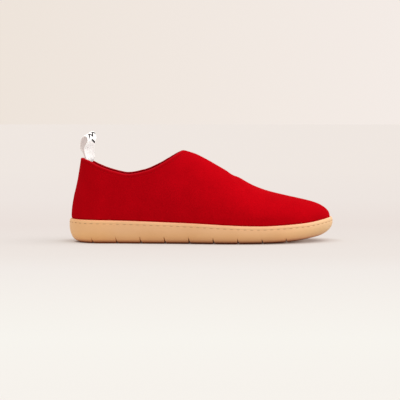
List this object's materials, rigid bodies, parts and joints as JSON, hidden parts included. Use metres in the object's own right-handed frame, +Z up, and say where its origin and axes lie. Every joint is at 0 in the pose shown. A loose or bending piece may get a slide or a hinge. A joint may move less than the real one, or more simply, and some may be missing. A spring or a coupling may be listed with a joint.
{
  "type": "slipper",
  "caption": "Slip-on slipper with a seamless felted wool upper, a moulded rubber cup sole with flex grooves, a felt insole and a tape pull loop at the heel.",
  "frame": {"origin": "on the floor, under the middle of the outsole's length and width", "axes": "+X from the heel to the toe, +Y to the inner (big toe) side, +Z up"},
  "size_m": [0.2805, 0.1019, 0.1173],
  "materials": {
    "upper_felt": "dry felted wool, bright red",
    "sole_rubber": "satin natural rubber, honey tan",
    "insole_felt": "dry grey-beige felt",
    "loop_tape": "woven cotton tape, off-white"
  },
  "bodies": {
    "root": {"upper": "upper_felt", "sole": "sole_rubber", "insole": "insole_felt", "pull_loop": "loop_tape"}
  },
  "joints": []
}
